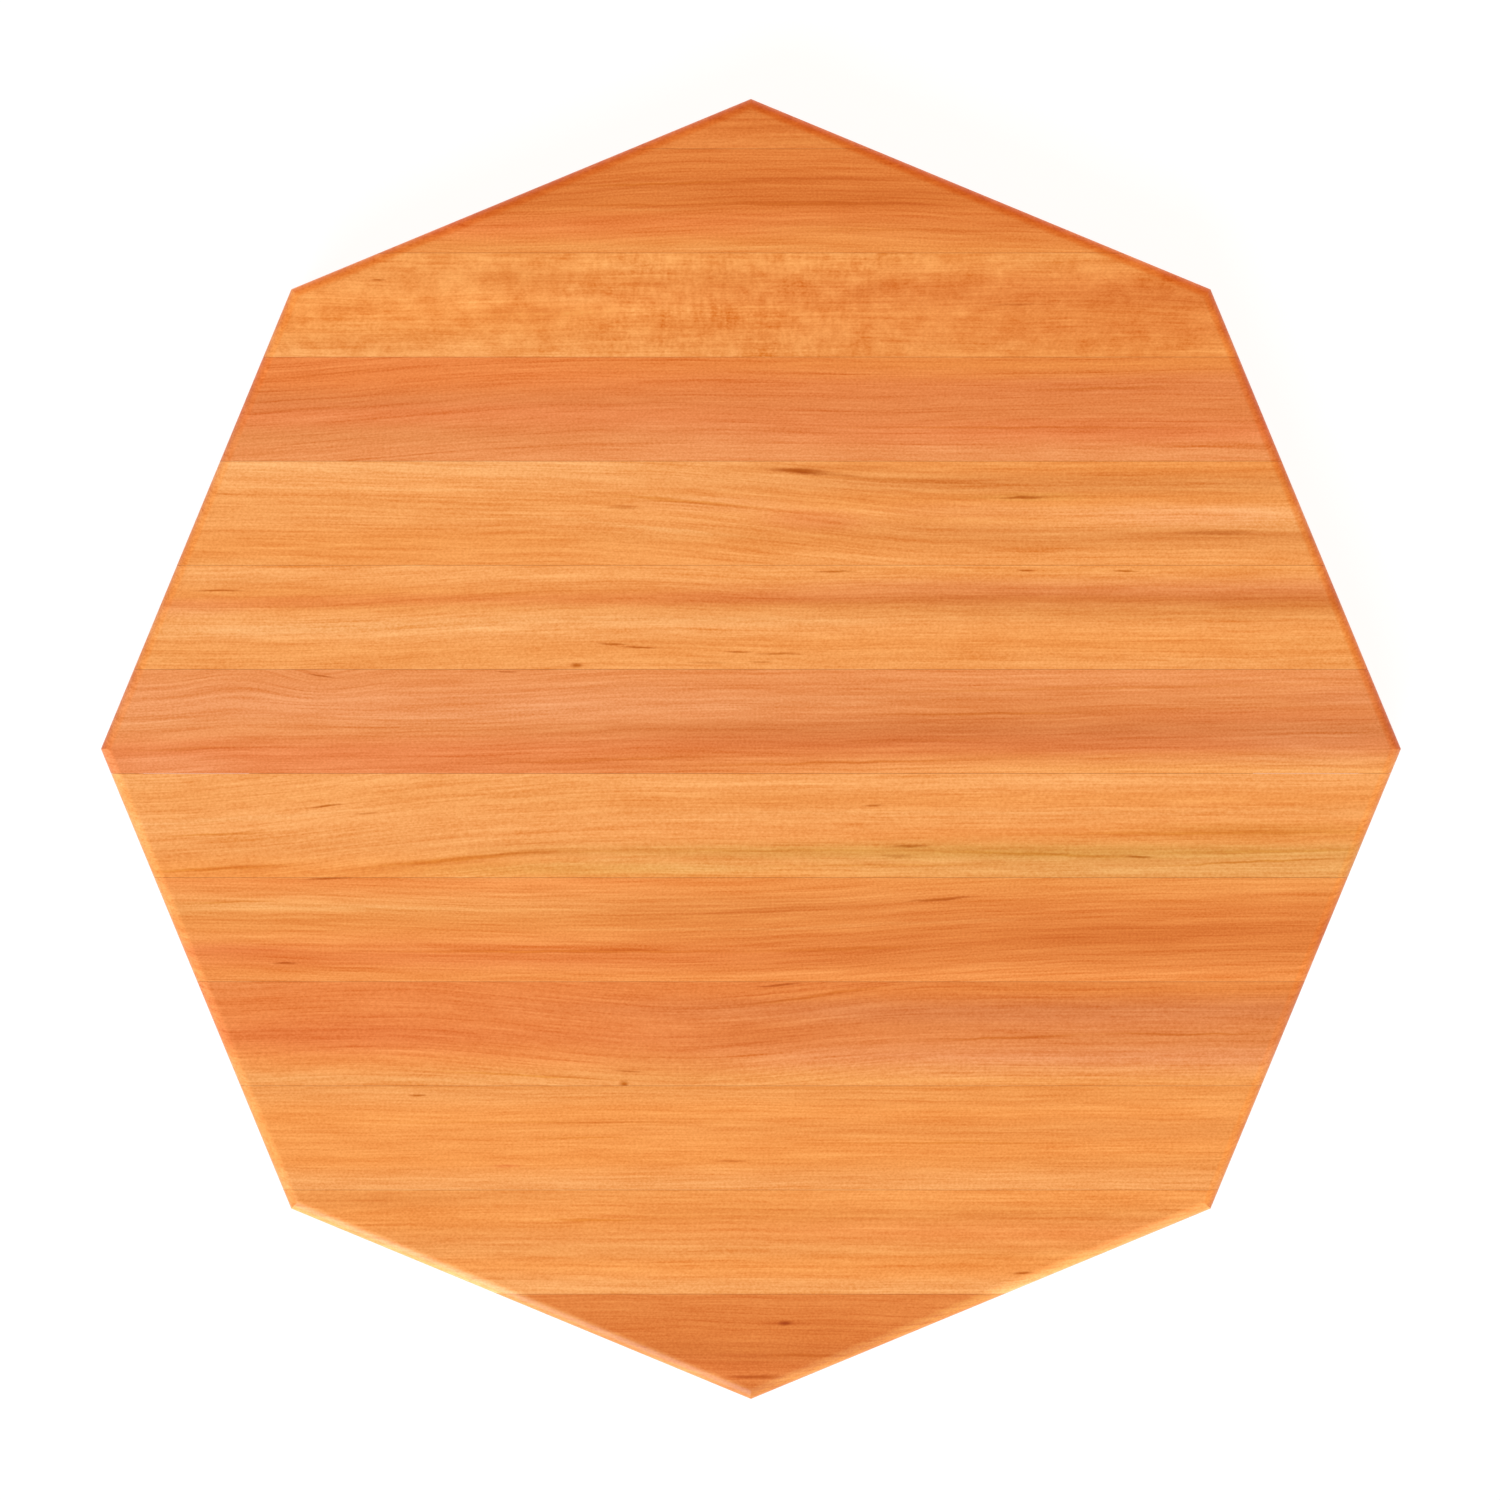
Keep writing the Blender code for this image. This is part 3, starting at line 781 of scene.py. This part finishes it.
def curl_figure(tree, place, along, seed):
    """Blotchy curl: patches that are darker along the grain, crossed by fine ripples. Zero is neutral."""
    patch = tree.noise(along, FIGURE["curl patch"], seed + 2, detail=3, roughness=0.5)
    blotch = tree.noise(place, FIGURE["curl blotch"], seed + 12, detail=1)
    ripple = tree.noise(place, FIGURE["curl ripple"], seed + 3, detail=1)
    hatch = tree.noise(place, FIGURE["curl hatch"], seed + 4, detail=1)
    x, _, _ = tree.split(place)
    middle = tree.smooth(tree.distance_from(x, CURL_MIDDLE), CURL_STRONG, CURL_FADE, 1, 0.25)
    return tree.add(
        tree.centred(patch, CURL_CONTRAST["curl patch"]),
        tree.centred(blotch, CURL_CONTRAST["curl blotch"]),
        tree.product(tree.centred(ripple, CURL_CONTRAST["curl ripple"]), middle),
        tree.product(
            tree.centred(hatch, CURL_CONTRAST["curl hatch"]), tree.smooth(patch, 0.4, 0.65), middle
        ),
    )


def mark_mask(tree, place, mark, top):
    """The mark's strength at its heart, falling to zero at its edge, and shallow below the surface."""
    inputs = {
        "Vector": place,
        "Location": (*millimetres(mark.x, mark.y), top),
        "Rotation": (0, 0, math.atan(mark.slope)),
        "Scale": (*millimetres(mark.half_length, mark.half_width), MARK_DEPTH),
    }
    local = tree.node("ShaderNodeMapping", inputs, vector_type="TEXTURE")
    return tree.smooth(tree.length(local), 0.2, 1.3, mark.strength, 0)


def cherry(name, board, seed, upper_edge, width, top, upright=False):
    """Oiled cherry for one board, whose grain runs along X.

    Its upper edge is at Y upper_edge and its face at Z top. An upright board has Z for Y and Y for Z.
    """
    tree = Finish(name)
    x, y, z = tree.split(tree.place())
    normal_x, normal_y, normal_z = tree.split(tree.normal())
    if upright:
        y, z = z, y
        normal_z = normal_y
    place = tree.join(x, y, z)
    depth = tree.math("SUBTRACT", top, z)

    wander = tree.noise(place, FIGURE["wander"], seed, detail=1)
    ripple = tree.noise(place, FIGURE["ripple"], seed + 0.4, detail=1)
    waves = tree.add(tree.centred(wander, 2 * board.wave * MM), tree.centred(ripple, 0.5 * board.wave * MM))
    down = tree.add(tree.math("SUBTRACT", upper_edge, y), waves, tree.scaled(depth, RING_SLANT))
    along = tree.join(x, tree.add(down, grain_bend(tree, place, board)), depth)

    streak = tree.noise(along, FIGURE["streak"], seed + 5, detail=2, roughness=0.75)
    band = tree.noise(along, FIGURE["band"], seed + 6, detail=1)
    share = tree.math("DIVIDE", tree.add(down, tree.centred(band, BAND_WAVER * width)), width)
    drift = tree.noise(place, FIGURE["drift"], seed + 7)
    end = tree.smooth(tree.add(x, tree.centred(drift, BLEND_WANDER)), -BLEND_REACH, BLEND_REACH)
    colour = tree.mix(tree.bands(share, board.left), tree.bands(share, board.right), end)

    line = tree.scaled(growth_lines(tree, along, board, seed), board.lines)
    fibre = tree.noise(along, FIGURE["fibre"], seed + 8, detail=1)
    speckle = tree.noise(place, FIGURE["speckle"], seed + 9, detail=1)
    cloud = tree.noise(place, FIGURE["cloud"], seed + 10, detail=4, roughness=0.6)
    shade = tree.add(
        tree.scaled(line, 2),
        tree.centred(streak, STREAK_CONTRAST * board.streaks),
        tree.centred(band, BAND_CONTRAST * board.streaks),
        tree.centred(fibre, FIBRE_CONTRAST),
        tree.centred(speckle, SPECKLE_CONTRAST),
        tree.centred(cloud, CLOUD_CONTRAST),
    )
    if board.curl:
        shade = tree.add(shade, tree.scaled(curl_figure(tree, place, along, seed), 0.5 * board.curl))
    colour = tree.shade(colour, shade)

    if board.marks:
        wobble = tree.noise(place, FIGURE["ragged"], seed + 11, detail=3)
        ragged = tree.vector("ADD", place, tree.join(0, tree.centred(wobble, MARK_RAGGEDNESS), 0))
        for mark in board.marks:
            colour = tree.tint(colour, MARK_TINTS[mark.kind], mark_mask(tree, ragged, mark, top))

    # Painted shade: the round-over is tinted deeper and redder than the face, fully where it curves and less
    # on upright faces.
    tilt = tree.math("SQRT", tree.math("SUBTRACT", 1, tree.product(normal_z, normal_z)))
    painted_edge_shade = tree.product(tree.smooth(tilt, 0, 0.3), tree.smooth(tilt, 0.7, 1, 1, 0.4))
    colour = tree.tint(colour, board.edge, painted_edge_shade)
    end_grain = tree.smooth(tree.math("ABSOLUTE", normal_x), 0.3, 0.95)
    colour = tree.tint(colour, END_GRAIN_TINT, end_grain)

    tree.surface.inputs["Specular IOR Level"].default_value = CHERRY_SPECULAR
    tree.feed(tree.surface.inputs["Base Color"], colour)
    roughness = tree.add(CHERRY_ROUGHNESS, tree.centred(fibre, 0.12), tree.scaled(line, 0.1))
    tree.feed(tree.surface.inputs["Roughness"], roughness)
    height = tree.add(tree.scaled(fibre, 0.6), tree.scaled(line, -0.5), tree.scaled(speckle, 0.4))
    bump = {"Strength": 0.25, "Distance": CHERRY_RELIEF, "Height": height}
    tree.feed(tree.surface.inputs["Normal"], tree.node("ShaderNodeBump", bump))
    return tree.material


def simple_material(name, colour, roughness, metallic=0.0):
    tree = Finish(name)
    place = tree.place()
    grain = tree.noise(place, FIGURE["plain"], 1.0, detail=3.0)
    shade = tree.scale(colour, tree.add(1.0, tree.centred(grain, 0.12)))
    tree.feed(tree.surface.inputs["Base Color"], shade)
    tree.feed(tree.surface.inputs["Roughness"], tree.add(roughness, tree.centred(grain, 0.1)))
    tree.surface.inputs["Metallic"].default_value = metallic
    return tree.material


def deck_maple():
    """Maple plywood: a pale play face with black rings and quadrant lines, and plies along its edge."""
    tree = Finish("maple")
    place = tree.place()
    x, y, z = tree.split(place)
    facing = tree.split(tree.normal())[2]
    figure = tree.noise(place, FIGURE["maple figure"], 3.0, detail=3)
    fibre = tree.noise(place, FIGURE["maple fibre"], 4.0)
    grain = tree.add(tree.centred(figure, 1.4), tree.centred(fibre, 0.7))
    face = tree.shade(MAPLE, grain)

    radius = tree.length(tree.join(x, y, 0.0))
    post = (sum(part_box(POST_SCREWS[0]), Vector()) / 2).xy.length
    edge = (LINE_WIDTH / 2 - LINE_FADE, LINE_WIDTH / 2 + LINE_FADE, 1.0, 0.0)
    ink = 0.0
    for ring in RINGS:
        ink = tree.math("MAXIMUM", ink, tree.smooth(tree.distance_from(radius, ring * post), *edge))
    reach = (post / 2 - LINE_FADE, post / 2 + LINE_FADE)
    band = tree.smooth(tree.distance_from(radius, 2.5 * post), *reach, 1, 0)
    for angle in QUADRANT_ANGLES:
        across = tree.math("SUBTRACT", tree.scaled(x, math.sin(angle)), tree.scaled(y, math.cos(angle)))
        line = tree.smooth(tree.math("ABSOLUTE", across), *edge)
        ink = tree.math("MAXIMUM", ink, tree.product(line, band))
    face = tree.mix(face, LINE_INK, tree.product(ink, tree.smooth(facing, -0.95, -0.9, 1, 0)))

    ply = tree.math("DIVIDE", tree.math("SUBTRACT", z, DECK_LOW.z), (DECK_HIGH.z - DECK_LOW.z) / PLIES)
    crossed = tree.smooth(tree.math("PINGPONG", ply, 1), 0.45, 0.55)
    plies = tree.mix(tree.shade(MAPLE, tree.centred(fibre, 1.0)), PLY_CORE, crossed)
    side = tree.smooth(tree.math("ABSOLUTE", facing), 0.4, 0.6, 1, 0)
    tree.feed(tree.surface.inputs["Base Color"], tree.mix(face, plies, side))
    roughness = tree.add(MAPLE_ROUGHNESS, tree.scaled(side, 0.25), tree.centred(fibre, 0.1))
    tree.feed(tree.surface.inputs["Roughness"], roughness)
    bump = {"Strength": 0.2, "Distance": MAPLE_RELIEF, "Height": fibre}
    tree.feed(tree.surface.inputs["Normal"], tree.node("ShaderNodeBump", bump))
    return tree.material


def side_matrix(index):
    """The frame of one side: X along it, Y outwards, origin at the middle of its outer face on the table."""
    turn = Matrix.Rotation(HALF_ANGLE + index * SIDE_ANGLE - math.pi / 2, 4, "Z")
    return turn @ Matrix.Translation((0, APOTHEM, 0))


def local_box(node, matrix):
    """Lowest and highest corner of a CAD node in another frame."""
    inverse = matrix.inverted()
    points = [inverse @ vertex.co for vertex in frame["nodes"][node].data.vertices]
    low = Vector([min(point[axis] for point in points) for axis in range(3)])
    high = Vector([max(point[axis] for point in points) for axis in range(3)])
    return low, high


def mesh_from(name, edit):
    mesh = bpy.data.meshes.new(name)
    edit.to_mesh(mesh)
    edit.free()
    return mesh


def make_object(name, mesh, matrix=None):
    obj = bpy.data.objects.new(name, mesh)
    bpy.context.scene.collection.objects.link(obj)
    obj.matrix_world = matrix or Matrix.Identity(4)
    return obj


def box_between(low, high, grow=0.0):
    edit = bmesh.new()
    bmesh.ops.create_cube(edit, size=1.0)
    size = high - low + Vector((2 * grow,) * 3)
    bmesh.ops.scale(edit, vec=size, verts=edit.verts)
    bmesh.ops.translate(edit, vec=(low + high) / 2, verts=edit.verts)
    return edit


def bevel(edit, edges, offset, segments):
    bmesh.ops.bevel(
        edit,
        geom=edges,
        offset=offset,
        offset_type="OFFSET",
        segments=segments,
        profile=0.5,
        affect="EDGES",
    )


def cut_away(edit, point, normal):
    """Removes what lies beyond a plane and closes the cut."""
    cut = bmesh.ops.bisect_plane(
        edit,
        geom=[*edit.verts, *edit.edges, *edit.faces],
        plane_co=point,
        plane_no=normal,
        clear_outer=True,
    )
    rim = [item for item in cut["geom_cut"] if isinstance(item, bmesh.types.BMEdge)]
    if rim:
        bmesh.ops.contextual_create(edit, geom=rim)


def subtract(mesh, cutters):
    """The mesh with the cutter meshes, each with its matrix, taken out of it."""
    body = make_object("boolean_body", mesh)
    tools = [make_object("boolean_tool", cutter, matrix) for cutter, matrix in cutters]
    for tool in tools:
        modifier = body.modifiers.new("cut", "BOOLEAN")
        modifier.object = tool
    graph = bpy.context.evaluated_depsgraph_get()
    result = bpy.data.meshes.new_from_object(body.evaluated_get(graph), depsgraph=graph)
    for obj in (body, *tools):
        bpy.data.objects.remove(obj)
    return result


def finish_piece(name, mesh, material, node, matrix=None):
    """Shades a piece, and lets it stand for its CAD node."""
    mesh.name = name
    mesh.materials.clear()
    mesh.materials.append(material)
    mesh.shade_smooth()
    mesh.set_sharp_from_angle(angle=SHARP_ANGLE)
    piece = make_object(name, mesh, matrix)
    normals = piece.modifiers.new("even_normals", "WEIGHTED_NORMAL")
    normals.keep_sharp = True
    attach(piece, "root")
    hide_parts(node)
    return piece


def slab_mesh():
    edit = bmesh.new()
    bmesh.ops.create_cone(
        edit,
        cap_ends=True,
        segments=SIDES,
        radius1=CORNER_RADIUS,
        radius2=CORNER_RADIUS,
        depth=PANEL_BACK_Z - PANEL_INNER_Z,
    )
    bmesh.ops.translate(edit, vec=(0, 0, (PANEL_BACK_Z + PANEL_INNER_Z) / 2), verts=edit.verts)
    back = [e for e in edit.edges if all(v.co.z > PANEL_BACK_Z - EDGE_EPSILON for v in e.verts)]
    bevel(edit, back, ROUND_OVER, ROUND_OVER_SEGMENTS)
    return mesh_from("slab", edit)


def tongue_cutter():
    low, high = local_box("rail_tongue_1", side_matrix(0))
    return mesh_from("tongue_groove", box_between(low, high, CAD_GLUE_GAP))


def pilot_cutters():
    """A hole in the panel for each post's screw, a little wider and deeper than its shank."""
    cutters = []
    for name in POST_SCREWS:
        low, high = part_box(name)
        axis = (low + high) / 2
        shank = [v.co - axis for v in frame["nodes"][name].data.vertices if v.co.z > PANEL_INNER_Z]
        radius = max(offset.xy.length for offset in shank) + CAD_GLUE_GAP
        depth = high.z - PANEL_INNER_Z + 2 * CAD_GLUE_GAP
        edit = bmesh.new()
        bmesh.ops.create_cone(
            edit, cap_ends=True, segments=PILOT_SEGMENTS, radius1=radius, radius2=radius, depth=depth
        )
        middle = Vector((axis.x, axis.y, (high.z + PANEL_INNER_Z) / 2))
        cutters.append((mesh_from("pilot_hole", edit), Matrix.Translation(middle)))
    return cutters


def make_staves():
    groove = tongue_cutter()
    grooves = [(groove, side_matrix(index)) for index in range(SIDES)]
    slab = subtract(slab_mesh(), grooves + pilot_cutters())
    for index, board in enumerate(STAVES):
        number = index + 1
        upper = MIDDLE_STAVE_TOP + (MIDDLE_STAVE - number) * STAVE_WIDTH
        lower = upper - STAVE_WIDTH
        edit = bmesh.new()
        edit.from_mesh(slab)
        cut_away(edit, Vector((0, upper - GLUE_LINE / 2, 0)), Vector((0, 1, 0)))
        if number < len(STAVES):
            cut_away(edit, Vector((0, lower + GLUE_LINE / 2, 0)), Vector((0, -1, 0)))
        mesh = mesh_from("stave", edit)
        node = f"stave_{number:02d}"
        material = cherry(f"cherry_{number:02d}", board, number, upper, STAVE_WIDTH, PANEL_BACK_Z)
        finish_piece(f"{node}_board", mesh, material, node)


def slot_of(node):
    for row in frame["record"]["subparts"]:
        if row["node"] == node:
            return row["material_slot"]
    return None


def make_rails():
    place = side_matrix(0)
    low, high = local_box("rail_1", place)
    middle = Vector((0, (low.y + high.y) / 2, (low.z + high.z) / 2))
    size = Vector((RAIL_BLANK * SIDE_LENGTH, high.y - low.y, high.z - low.z))
    edit = box_between(middle - size / 2, middle + size / 2)
    rim = [
        e
        for e in edit.edges
        if all(v.co.z < low.z + EDGE_EPSILON for v in e.verts) and e.calc_length() > SIDE_LENGTH
    ]
    bevel(edit, rim, RIM_ROUND, RIM_SEGMENTS)
    for end in (-1, 1):
        normal = Vector((end * math.cos(HALF_ANGLE), -math.sin(HALF_ANGLE), 0))
        corner = Vector((end * SIDE_LENGTH / 2, 0, 0))
        cut_away(edit, corner - normal * GLUE_LINE / 2, normal)
    bmesh.ops.recalc_face_normals(edit, faces=edit.faces)
    spline_low, spline_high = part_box("mitre_spline_1")
    slot = mesh_from("spline_slot", box_between(spline_low, spline_high, CAD_GLUE_GAP))
    corners = [place.inverted() @ Matrix.Rotation(corner * SIDE_ANGLE, 4, "Z") for corner in (0, 1)]
    cutters = [(tongue_cutter(), Matrix.Identity(4)), *[(slot, corner) for corner in corners]]
    rail = subtract(mesh_from("rail", edit), cutters)
    for index in range(SIDES):
        node = f"rail_{index + 1}"
        board = RAIL_BOARDS[index % len(RAIL_BOARDS)]
        material = rail_cherry(f"cherry_rail_{index + 1}", board, 20 + index, high.z - low.z)
        finish_piece(f"{node}_board", rail.copy(), material, node, side_matrix(index))


def rail_cherry(name, board, seed, height):
    """Cherry for a rail, whose show face stands upright: the grain runs along X and across in Z."""
    return cherry(name, board, seed, height, height, 0.0, upright=True)


def make_floor():
    edit = bmesh.new()
    bmesh.ops.create_grid(edit, x_segments=1, y_segments=1, size=FLOOR_SIZE)
    floor = make_object("floor", mesh_from("floor", edit))
    floor.location.z = CAD_LOW.z - FLOOR_DROP
    tree = Finish("floor_white")
    tree.surface.inputs["Base Color"].default_value = FLOOR_COLOUR
    tree.surface.inputs["Roughness"].default_value = FLOOR_ROUGHNESS
    tree.surface.inputs["Specular IOR Level"].default_value = FLOOR_SPECULAR
    tree.surface.inputs["Emission Color"].default_value = WHITE
    tree.surface.inputs["Emission Strength"].default_value = FLOOR_GLOW
    floor.data.materials.append(tree.material)


def make_world():
    """A room that is white at the horizon, and above it cool towards the key light and warm away from it."""
    world = bpy.data.worlds.new("studio")
    bpy.context.scene.world = world
    tree = Tree(world)
    direction = tree.node("ShaderNodeTexCoord", {}, "Generated")
    towards_key = (math.cos(KEY_AZIMUTH), math.sin(KEY_AZIMUTH), 0)
    facing = tree.node("ShaderNodeVectorMath", {0: direction, 1: towards_key}, 1, operation="DOT_PRODUCT")
    room = tree.mix(WARM_SIDE, COOL_SIDE, tree.add(tree.scaled(facing, 0.5), 0.5))
    height = tree.split(direction)[2]
    colour = tree.mix(WHITE, room, tree.smooth(height, HORIZON_HEIGHT, ROOM_HEIGHT))
    tree.feed(tree.nodes["Background"].inputs["Color"], colour)


def make_key_light():
    """A wide soft light that falls evenly on the whole board, low and from its lower left."""
    data = bpy.data.lights.new("key", "SUN")
    data.angle = KEY_SPREAD
    data.energy = KEY_STRENGTH
    data.color = KEY_COLOUR
    key = bpy.data.objects.new("key", data)
    bpy.context.scene.collection.objects.link(key)
    towards = Vector((math.cos(KEY_AZIMUTH), math.sin(KEY_AZIMUTH), math.tan(KEY_ELEVATION)))
    key.rotation_euler = towards.to_track_quat("Z", "Y").to_euler()


def make_camera():
    data = bpy.data.cameras.new("camera")
    data.lens = LENS
    data.sensor_width = SENSOR
    data.clip_end = FARTHEST_SEEN
    camera = bpy.data.objects.new("camera", data)
    bpy.context.scene.collection.objects.link(camera)
    distance = 2 * CORNER_RADIUS / BOARD_SHARE * LENS / SENSOR
    camera.location = (CAMERA_X, CAMERA_Y, PANEL_BACK_Z - ROUND_OVER + distance)
    bpy.context.scene.camera = camera


def dress_hidden_nodes():
    plain = {
        "beech": simple_material("beech", (0.55, 0.33, 0.17), 0.6),
        "maple_ply": deck_maple(),
        "steel": simple_material("steel", (0.6, 0.6, 0.58), 0.3, 1.0),
        "rubber": simple_material("rubber", (0.03, 0.027, 0.025), 0.7),
    }
    for name, node in frame["nodes"].items():
        slot = slot_of(name)
        if slot in plain:
            node.data.materials.clear()
            node.data.materials.append(plain[slot])


def main():
    scene = bpy.context.scene
    scene.view_settings.view_transform = "Standard"
    make_staves()
    make_rails()
    dress_hidden_nodes()
    make_floor()
    make_world()
    make_key_light()
    make_camera()


main()
